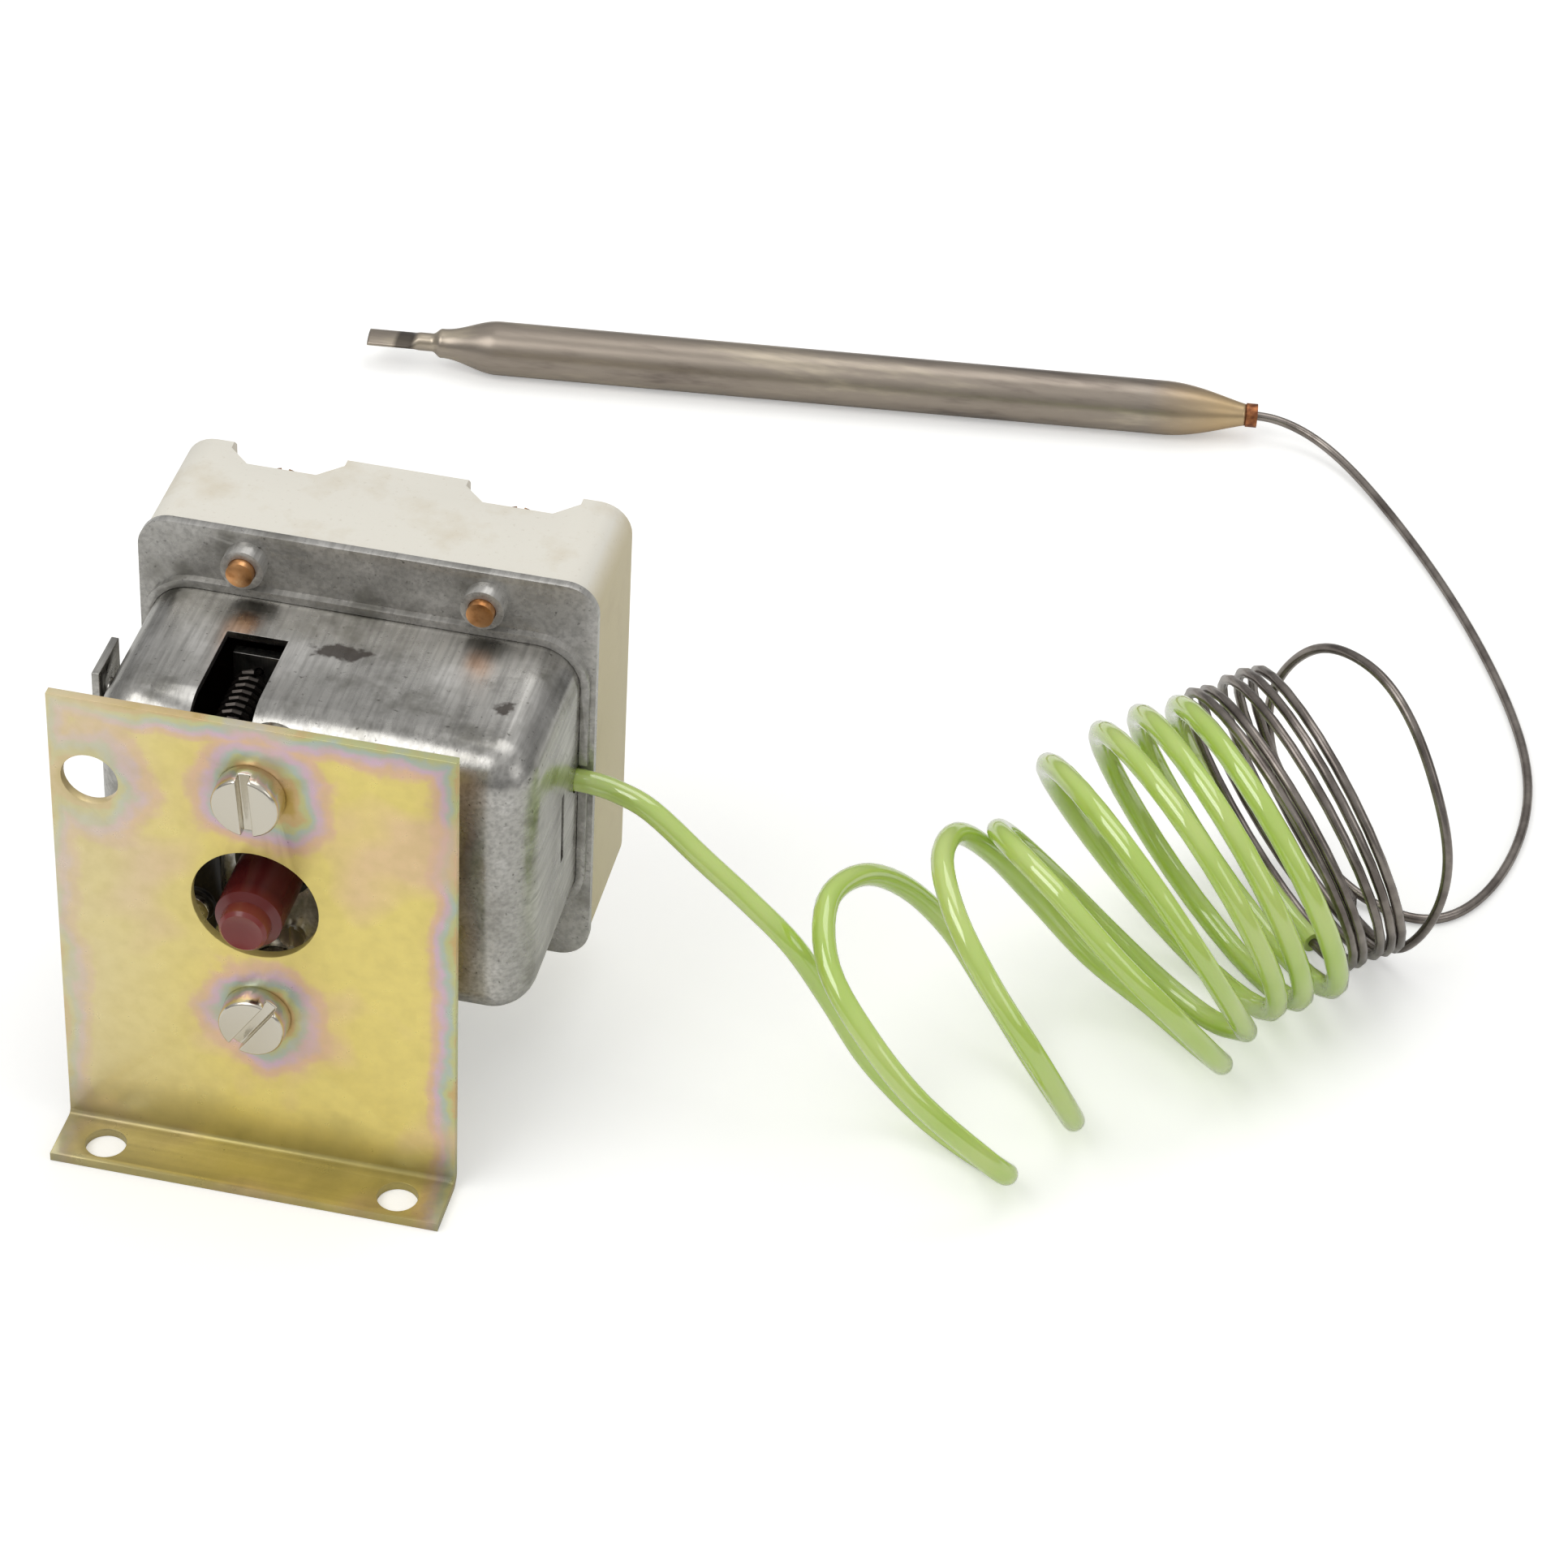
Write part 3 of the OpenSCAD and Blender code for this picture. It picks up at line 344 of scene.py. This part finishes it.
def pressed_steatite():
    """Dry pressed, unglazed steatite: matt off-white with a fine grain, smudged with brown; its
    right wall is warmer and darker than the ground top, partly its own tone and partly painted
    shade."""
    made, tree, shader, place = finish("pressed_steatite", rough=0.62)
    split = add(tree, "SeparateXYZ", Vector=place)
    cloud = grit(tree, place, 9.0, detail=5.0, roughness=0.6)
    grain = grit(tree, place, 0.5, detail=3.0)
    # The right wall, past x 25.5, is tinted tan: partly the steatite's own warmer tone, partly
    # painted shade on that side.
    right_wall_tone_and_shade = scale_value(tree, split.outputs["X"], 25.5, 27.0, 0.0, 1.0)
    base = mixed(tree, right_wall_tone_and_shade, linear("#ECE8DC"), linear("#DFD2B2"))
    smudge = scale_value(tree, cloud, 0.52, 0.72, 0.0, 0.5)
    stained = mixed(tree, smudge, base, linear("#D2C3A4"))
    pores = scale_value(tree, grain, 0.62, 0.78, 0.0, 0.3)
    grained = mixed(tree, pores, stained, linear("#B9AC92"))
    tree.links.new(grained, shader.inputs["Base Color"])
    relief(tree, shader, grain, 0.04, 0.5)
    return made


def turned_brass():
    """Brass screws and contact parts: warm, slightly tarnished copper yellow."""
    made, tree, shader, place = finish("turned_brass", rough=0.3, metal=1.0)
    cloud = grit(tree, place, 1.2, detail=4.0)
    base = ramp(tree, cloud, [(0.3, "#B07A4C"), (0.55, "#D39C6A"), (0.8, "#E2B98A")])
    tree.links.new(base, shader.inputs["Base Color"])
    return made


def tinned_brass():
    """Tin dipped brass tabs: pale yellow grey with worn yellow edges."""
    made, tree, shader, place = finish("tinned_brass", rough=0.28, metal=1.0)
    cloud = grit(tree, place, 2.0, detail=4.0)
    base = ramp(tree, cloud, [(0.35, "#C9B77C"), (0.6, "#DCD3B0"), (0.8, "#E4DFCB")])
    tree.links.new(base, shader.inputs["Base Color"])
    return made


def black_phenolic():
    """Moulded black phenolic: dark, with a soft sheen and fine grain."""
    made, tree, shader, place = finish("black_phenolic", rough=0.38, colour="#1B1816")
    relief(tree, shader, grit(tree, place, 0.4), 0.015, 0.4)
    return made


def brown_phenolic():
    """Moulded brown phenolic of the contact slide."""
    made, tree, shader, place = finish("brown_phenolic", rough=0.42, colour="#3B291E")
    relief(tree, shader, grit(tree, place, 0.4), 0.015, 0.4)
    return made


def stamped_steel():
    """Bare stamped steel of frame and lever: mid grey with a rolled grain."""
    made, tree, shader, place = finish("stamped_steel", rough=0.36, metal=1.0)
    lines = grit(tree, place, 0.5, (1, 1, 0.08), detail=4.0)
    base = ramp(tree, lines, [(0.3, "#96948F"), (0.7, "#B9B7B2")])
    tree.links.new(base, shader.inputs["Base Color"])
    return made


def spring_wire():
    """Drawn spring wire, bright."""
    return finish("spring_wire", rough=0.26, metal=1.0, colour="#BDBBB6")[0]


def oiled_spring_wire():
    """Oil hardened spring wire: nearly black with a satin gleam."""
    return finish("oiled_spring_wire", rough=0.32, metal=0.9, colour="#4A4541")[0]


def maroon_urea():
    """Gloss moulded maroon button, painted lighter red at its tip for the light that passes
    through it.
    """
    made, tree, shader, place = finish("maroon_urea", rough=0.22)
    split = add(tree, "SeparateXYZ", Vector=place)
    # Lighter red towards the tip: painted light, standing for light passing through the tip.
    tip_painted_light = scale_value(tree, split.outputs["Y"], -0.6, 3.0, 1.0, 0.0)
    base = mixed(tree, tip_painted_light, linear("#4A1314"), linear("#7E302C"))
    tree.links.new(base, shader.inputs["Base Color"])
    shader.inputs["Subsurface Weight"].default_value = 0.12
    shader.inputs["Subsurface Radius"].default_value = (1.0, 0.35, 0.15)
    shader.inputs["Subsurface Scale"].default_value = 1.2 * MM
    shader.inputs["IOR"].default_value = 1.55
    return made


def clear_green_sleeving():
    """Extruded plasticised PVC sleeving, yellow green and half clear: glossy, with light
    passing through and scattering in it."""
    made, tree, shader, place = finish("clear_green_sleeving", rough=0.12)
    cloud = grit(tree, place, 12.0, detail=2.0)
    base = ramp(tree, cloud, [(0.3, "#D0F066"), (0.7, "#E0FA84")])
    tree.links.new(base, shader.inputs["Base Color"])
    shader.inputs["IOR"].default_value = 1.5
    shader.inputs["Transmission Weight"].default_value = 0.25
    shader.inputs["Subsurface Weight"].default_value = 0.3
    shader.inputs["Subsurface Radius"].default_value = (0.8, 1.0, 0.3)
    shader.inputs["Subsurface Scale"].default_value = 0.8 * MM
    shader.inputs["Coat Weight"].default_value = 1.0
    shader.inputs["Coat Roughness"].default_value = 0.05
    shader.inputs["Coat IOR"].default_value = 1.9
    return made


def drawn_capillary():
    """Drawn, annealed capillary tube: grey brown, satin, slightly stained."""
    made, tree, shader, place = finish("drawn_capillary", rough=0.26, metal=0.9)
    cloud = grit(tree, place, 4.0, detail=4.0)
    base = ramp(tree, cloud, [(0.3, "#6E6661"), (0.7, "#9C948D")])
    tree.links.new(base, shader.inputs["Base Color"])
    return made


def nickelled_bulb():
    """Plated copper bulb: warm grey and satin with long streaks, golden towards its brazed
    end and darker in a narrow band where its neck flattens into the crimp."""
    made, tree, shader, place = finish("nickelled_bulb", rough=0.34, metal=0.85)
    split = add(tree, "SeparateXYZ", Vector=place)
    x = split.outputs["X"]
    cloud = grit(tree, place, 5.0, (0.15, 1, 1), detail=5.0, roughness=0.65)
    base = ramp(tree, cloud, [(0.3, "#7D736B"), (0.5, "#A3988C"), (0.7, "#C4B8A4")])
    tinted = mixed(tree, scale_value(tree, x, 68.0, 77.0, 0.0, 0.7), base, linear("#D8B987"))
    # A narrow darker band where the neck flattens into the crimp.
    from_band = arith(tree, "ABSOLUTE", arith(tree, "ADD", x, 25.4))
    dark_crimp_band = scale_value(tree, from_band, 0.9, 1.5, 0.8, 0.0)
    pressed = mixed(tree, dark_crimp_band, tinted, linear("#3F3934"))
    tree.links.new(pressed, shader.inputs["Base Color"])
    relief(tree, shader, grit(tree, place, 0.6, (0.15, 1, 1)), 0.01, 0.4)
    return made


def braze_copper():
    """Brazed ring: copper with oxide."""
    made, tree, shader, place = finish("braze_copper", rough=0.42, metal=0.9)
    cloud = grit(tree, place, 0.8, detail=4.0)
    base = ramp(tree, cloud, [(0.3, "#7A4A33"), (0.7, "#B8794F")])
    tree.links.new(base, shader.inputs["Base Color"])
    return made


def catmull_rom(points, per_span):
    """A smooth curve through points: on each span the blend of its four nearest points,
    0.5 (2b + (c-a)u + (2a-5b+4c-d)u^2 + (3b-a-3c+d)u^3), at per_span steps of u."""
    p = np.asarray(points, float)
    padded = np.vstack([2 * p[0] - p[1], p, 2 * p[-1] - p[-2]])
    a, b, c, d = (padded[i : i + len(p) - 1, None, :] for i in range(4))
    u = np.arange(per_span)[None, :, None] / per_span
    curve = 0.5 * (
        2 * b + (c - a) * u + (2 * a - 5 * b + 4 * c - d) * u**2
        + (3 * b - a - 3 * c + d) * u**3
    )
    return np.vstack([curve.reshape(-1, p.shape[1]), p[-1:]])


def turn_points(first, last):
    """The close turns between two stations: a circle of TURN_RADIUS square to TURN_NORMAL,
    whose angle falls by half a turn per station and whose centre slides along TURN_CENTRES."""
    normal = np.array(TURN_NORMAL) / np.linalg.norm(TURN_NORMAL)
    top = np.array(TURN_TOP) - normal * np.dot(normal, TURN_TOP)
    top /= np.linalg.norm(top)
    near = np.cross(normal, top)
    steps = int(round((last - first) * POINTS_PER_HALF_TURN))
    station = np.linspace(first, last, steps + 1)
    centres = catmull_rom(TURN_CENTRES, TURN_STEPS)
    known = FIRST_STATION + np.arange(len(centres)) / TURN_STEPS
    centre = np.stack([
        np.interp(station, known, centres[:, 0]),
        np.interp(station, known, centres[:, 1]),
        np.full(len(station), TURN_HEIGHT),
    ], axis=1)
    angle = (math.pi - math.pi * station)[:, None]
    return centre + TURN_RADIUS * (np.cos(angle) * top + np.sin(angle) * near)


def eased(path, rounds):
    """The path with each inner point drawn to its neighbours, p = (a + 2 p + b) / 4."""
    path = np.array(path)
    for _ in range(rounds):
        path[1:-1] = 0.25 * (path[:-2] + 2 * path[1:-1] + path[2:])
    return path


def round_cord(name, points, radius, material, sides):
    """A curve of one open spline through points in mm, with a round section."""
    data = bpy.data.curves.new(name, "CURVE")
    data.dimensions = "3D"
    data.bevel_depth = radius * MM
    data.bevel_resolution = sides // 2 - 1
    data.use_fill_caps = True
    spline = data.splines.new("POLY")
    spline.points.add(len(points) - 1)
    flat = np.hstack([np.asarray(points) * MM, np.ones((len(points), 1))])
    spline.points.foreach_set("co", flat.ravel())
    made = bpy.data.objects.new(name, data)
    bpy.context.collection.objects.link(made)
    data.materials.append(material)
    spline.use_smooth = True
    return made


def grid_mesh(name, points, material):
    """A mesh from a grid of points in mm, rings by sides, with its two ends closed."""
    rings, sides, _ = points.shape
    ring = np.arange(rings - 1)[:, None] * sides
    side = np.arange(sides)[None, :]
    after = (side + 1) % sides
    quads = np.stack(
        [ring + side, ring + after, ring + sides + after, ring + sides + side], axis=-1
    )
    faces = quads.reshape(-1, 4).tolist()
    faces.append(list(range(sides - 1, -1, -1)))
    faces.append([(rings - 1) * sides + k for k in range(sides)])
    data = bpy.data.meshes.new(name)
    data.from_pydata((points.reshape(-1, 3) * MM).tolist(), [], faces)
    work = bmesh.new()
    work.from_mesh(data)
    bmesh.ops.recalc_face_normals(work, faces=work.faces)
    work.to_mesh(data)
    work.free()
    data.shade_smooth()
    data.materials.append(material)
    made = bpy.data.objects.new(name, data)
    bpy.context.collection.objects.link(made)
    return made


def smooth_step(t):
    """The step 3 t^2 - 2 t^3, held at 0 and 1."""
    t = np.clip(t, 0, 1)
    return t * t * (3 - 2 * t)


def bulb_surface():
    """The sensor bulb, a profile turned round its axis: r(s) climbs from the brazed end
    over a cone to BULB_RADIUS, holds along the body, falls over a shoulder to the neck, and
    the neck's section flattens into the crimp: half width grows while half height falls."""
    total = BULB_CONE + BULB_BODY + BULB_TAIL
    s = np.concatenate([
        np.linspace(0, BULB_CONE, 24), np.linspace(BULB_CONE + 1, BULB_CONE + BULB_BODY, 40),
        np.linspace(BULB_CONE + BULB_BODY + 0.4, total, 64),
    ])
    past_body = s - BULB_CONE - BULB_BODY
    rise = np.clip(s / BULB_CONE, 0, 1)
    swell = np.sin(rise * math.pi / 2) ** CONE_ROUNDING
    cone = BULB_END_RADIUS + (BULB_RADIUS - BULB_END_RADIUS) * swell
    shoulder = smooth_step(past_body / SHOULDER)
    step = np.clip((past_body - NECK_STEP_AT) / NECK_STEP_LONG, 0, 1)
    radius = cone - (BULB_RADIUS - NECK_RADIUS) * shoulder - NECK_STEP_DEEP * step
    flat = smooth_step((s - (total - CRIMP)) / CRIMP_RUN_IN)
    wide = radius * (1 - flat) + CRIMP_HALF_WIDE * flat
    high = radius * (1 - flat) + CRIMP_HALF_HIGH * flat
    around = np.linspace(0, 2 * math.pi, 48, endpoint=False)
    across = wide[:, None] * np.cos(around)
    up = high[:, None] * np.sin(around)
    turn = math.radians(BULB_TURN)
    along = np.array([math.cos(turn), math.sin(turn)])
    aside = np.array([-along[1], along[0]])
    x = BULB_END[0] + s[:, None] * along[0] + across * aside[0]
    y = BULB_END[1] + s[:, None] * along[1] + across * aside[1]
    return np.stack([x, y, BULB_RADIUS + up], axis=-1)


def softened(frame, name, radius_mm, material):
    """A merged copy of a CAD node with its sharp edges broken, standing for that node."""
    source = frame["nodes"][name]
    data = source.data.copy()
    data.name = name + "_edges"
    work = bmesh.new()
    work.from_mesh(data)
    bmesh.ops.remove_doubles(work, verts=work.verts, dist=MERGE)
    bmesh.ops.dissolve_limit(
        work, angle_limit=math.radians(FLAT_TURN), verts=work.verts, edges=work.edges
    )
    work.to_mesh(data)
    work.free()
    made = bpy.data.objects.new(name + "_finished", data)
    bpy.context.collection.objects.link(made)
    data.materials.clear()
    data.materials.append(material)
    data.shade_smooth()
    bevel = made.modifiers.new("broken_edges", "BEVEL")
    bevel.width = radius_mm * MM
    bevel.segments = 2
    bevel.limit_method = "ANGLE"
    bevel.angle_limit = math.radians(SHARP_TURN)
    bevel.harden_normals = True
    bevel.use_clamp_overlap = True
    return made


def body_of_node(frame, name):
    """The body that a node rides on."""
    for body, nodes in frame["record"]["behaviour"]["bodies"].items():
        if name in nodes:
            return body
    return "head"


def seen_white(tree):
    """1 for the rays that see the background directly or through the sleeve, 0 for all others."""
    rays = add(tree, "LightPath").outputs
    return arith(tree, "MAXIMUM", rays["Is Camera Ray"], rays["Is Transmission Ray"])


def add_stage():
    """A plain white floor that keeps the object's soft shadow."""
    data = bpy.data.meshes.new("floor")
    signs = [(-1, -1), (1, -1), (1, 1), (-1, 1)]
    corners = [(x * FLOOR_HALF, y * FLOOR_HALF, FLOOR_Z) for x, y in signs]
    data.from_pydata(corners, [], [(0, 1, 2, 3)])
    floor = bpy.data.objects.new("floor", data)
    bpy.context.collection.objects.link(floor)
    made = bpy.data.materials.new("white_floor")
    made.use_nodes = True
    tree = made.node_tree
    shader = tree.nodes["Principled BSDF"]
    shader.inputs["Base Color"].default_value = linear("#F4F4F2")
    shader.inputs["Roughness"].default_value = 0.9
    shader.inputs["Specular IOR Level"].default_value = 0.1
    strength = arith(tree, "MULTIPLY", seen_white(tree), FLOOR_GLOW)
    glow = add(tree, "Emission", Color=linear("#FFFFFF"), Strength=strength)
    both = add(tree, "AddShader", in0=shader.outputs[0], in1=glow.outputs[0])
    tree.links.new(both.outputs[0], tree.nodes["Material Output"].inputs["Surface"])
    data.materials.append(made)


def add_softbox(name, place, aim, size, radiance):
    """A square lamp of that radiance at place, turned towards aim, all in metres."""
    data = bpy.data.lights.new(name, "AREA")
    data.shape = "SQUARE"
    data.size = size
    data.energy = radiance * math.pi * size * size
    lamp = bpy.data.objects.new(name, data)
    bpy.context.collection.objects.link(lamp)
    lamp.location = place
    lamp.rotation_euler = (Vector(aim) - Vector(place)).to_track_quat("-Z", "Y").to_euler()


def add_lights():
    """A white room, brighter above than below, and three softboxes."""
    world = bpy.data.worlds.new("white_room")
    bpy.context.scene.world = world
    world.use_nodes = True
    tree = world.node_tree
    tree.nodes["Background"].inputs["Color"].default_value = linear("#FFFFFF")
    direction = add(tree, "TexCoord").outputs["Generated"]
    height = add(tree, "SeparateXYZ", Vector=direction).outputs["Z"]
    room = scale_value(tree, height, 0.05, 0.7, ROOM_LOW, ROOM_HIGH)
    level = arith(tree, "MAXIMUM", room, seen_white(tree))
    tree.links.new(level, tree.nodes["Background"].inputs["Strength"])
    for name, (place, size, radiance) in SOFTBOXES.items():
        add_softbox(name, place, AIM, size, radiance)


def add_camera():
    """The photograph's camera: it looks along -back, its X axis is right turned by the roll."""
    azimuth, elevation, roll = (
        math.radians(a) for a in (CAMERA_AZIMUTH, CAMERA_ELEVATION, CAMERA_ROLL)
    )
    back = Vector((
        math.sin(azimuth) * math.cos(elevation),
        -math.cos(azimuth) * math.cos(elevation),
        math.sin(elevation),
    ))
    level = Vector((math.cos(azimuth), math.sin(azimuth), 0))
    rise = back.cross(level)
    right = math.cos(roll) * level + math.sin(roll) * rise
    up = -math.sin(roll) * level + math.cos(roll) * rise
    place = CAMERA_DISTANCE * back - CAMERA_SLIDE[0] * right - CAMERA_SLIDE[1] * up
    place += Vector((0, CAMERA_FOCUS_Y, 0))
    data = bpy.data.cameras.new("camera")
    data.sensor_width = SENSOR
    data.sensor_fit = "HORIZONTAL"
    data.lens = CAMERA_LENS
    data.clip_start = 0.01
    data.clip_end = 20
    camera = bpy.data.objects.new("camera", data)
    bpy.context.collection.objects.link(camera)
    turn = camera.matrix_world.to_3x3()
    for column, axis in enumerate((right, up, back)):
        turn.col[column] = axis
    camera.matrix_world = turn.to_4x4()
    camera.location = place * MM
    bpy.context.scene.camera = camera


def add_cords(sleeving, tube, bulb_finish):
    """Sleeve, capillary and bulb on one route: the sleeve ends partway round the turns."""
    all_turns = turn_points(FIRST_STATION, LAST_STATION)
    given = SLEEVE_ROUTE + SLEEVE_LANDING + OPEN_TURNS + [tuple(all_turns[0])]
    lead = catmull_rom(given, LEAD_STEPS)
    sleeve_path = np.vstack([lead[:-1], turn_points(FIRST_STATION, SLEEVE_LAST_STATION)])
    turn = math.radians(BULB_TURN)
    inside = [
        (BULB_END[0] + s * math.cos(turn), BULB_END[1] + s * math.sin(turn), BULB_RADIUS)
        for s in CAPILLARY_IN_BULB
    ]
    tail = catmull_rom([tuple(all_turns[-1])] + CAPILLARY_ROUTE + inside, TAIL_STEPS)
    tail = eased(tail, TAIL_ROUNDS)
    capillary_path = np.vstack([lead[:-1], all_turns[:-1], tail])

    sleeve = round_cord("green_sleeve", sleeve_path, SLEEVE_RADIUS, sleeving, 16)
    capillary = round_cord("capillary_tube", capillary_path, CAPILLARY_RADIUS, tube, 10)
    bulb = grid_mesh("bulb", bulb_surface(), bulb_finish)
    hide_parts("sleeve_lead", "sleeve_coil")
    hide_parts("capillary_coil", "capillary_lead")
    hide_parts("sensor_bulb")
    slots = ((sleeve, "green_sleeve"), (capillary, "capillary_copper"), (bulb, "bulb_copper"))
    for piece, slot in slots:
        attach(piece, "head")


def main():
    for old in list(bpy.data.objects):
        bpy.data.objects.remove(old)
    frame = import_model()
    bpy.context.scene.view_settings.view_transform = "Standard"

    add_camera()
    zinc, nickel, sheet = yellow_chromated_zinc(), bright_nickel(), drawn_tinned_steel()
    dull_sheet = drawn_tinned_steel("dull_tinned_steel", metal=0.45)
    steatite, brass, tabs = pressed_steatite(), turned_brass(), tinned_brass()
    black, brown, stamped = black_phenolic(), brown_phenolic(), stamped_steel()
    wire, dark_wire, maroon = spring_wire(), oiled_spring_wire(), maroon_urea()
    tube, braze = drawn_capillary(), braze_copper()
    add_cords(clear_green_sleeving(), tube, nickelled_bulb())

    edges = {
        "bracket": (0.12, zinc, "zinc_yellow"), "bracket_screws": (0.15, nickel, "nickel_steel"),
        "pillars": (0.15, nickel, "nickel_steel"), "cover_can": (0.1, sheet, "can_steel"),
        "rim_plate": (0.15, dull_sheet, "can_steel"), "ceramic_base": (0.3, steatite, "ceramic"),
        "base_screws": (0.12, brass, "brass"), "ground_tab": (0.1, sheet, "can_steel"),
        "front_insulator": (0.15, black, "black_moulding"),
        "insulator_screw": (0.08, nickel, "nickel_steel"),
        "mechanism_frame": (0.08, stamped, "inner_steel"),
        "button_guide": (0.15, black, "black_moulding"),
        "trip_lever": (0.08, stamped, "inner_steel"),
        "contact_carrier": (0.15, brown, "brown_moulding"),
    }
    edges.update({f"terminal_{k}": (0.08, tabs, "tinned_brass") for k in range(1, 7)})
    for name, (radius, material, slot) in edges.items():
        piece = softened(frame, name, radius, material)
        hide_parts(name)
        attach(piece, body_of_node(frame, name))

    plain = {
        "reset_button": maroon, "button_spring": wire, "lever_pin": wire,
        "trip_spring": dark_wire, "diaphragm_capsule": tube, "calibration_screw": nickel,
        "inner_capillary": tube, "bridge_left": brass, "bridge_middle": brass,
        "bridge_right": brass, "contact_springs": wire, "carrier_springs": wire,
        "bulb_collar": braze,
    }
    for name, material in plain.items():
        for slot in frame["nodes"][name].material_slots:
            slot.material = material

    add_stage()
    add_lights()


main()
